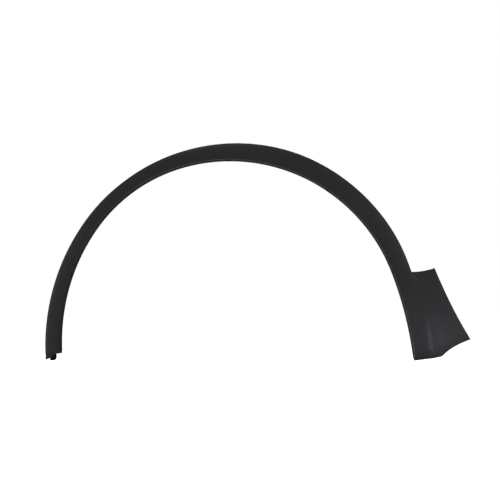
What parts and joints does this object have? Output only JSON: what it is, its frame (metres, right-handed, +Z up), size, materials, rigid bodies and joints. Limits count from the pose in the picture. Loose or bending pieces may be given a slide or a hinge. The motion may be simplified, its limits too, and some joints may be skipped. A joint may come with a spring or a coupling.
{
  "type": "wheel arch trim",
  "caption": "Front wheel arch trim for the left side of a family car: a grained black plastic band round the wheel opening that widens into a foot at the sill.",
  "frame": {"origin": "middle of the crown screw's hole, at its mouth on the wheel side of the return flange", "axes": "+X to the rear of the car, +Y inboard, +Z up; the visible face looks along -Y"},
  "size_m": [0.9694, 0.1063, 0.498],
  "materials": {
    "moulding": "fine moulded grain",
    "clip": "plain natural nylon"
  },
  "bodies": {
    "root": {"arch_moulding": "moulding", "clip_1": "clip", "clip_2": "clip", "clip_3": "clip", "clip_4": "clip", "clip_5": "clip", "clip_6": "clip", "clip_7": "clip", "clip_8": "clip", "clip_9": "clip"}
  },
  "joints": []
}
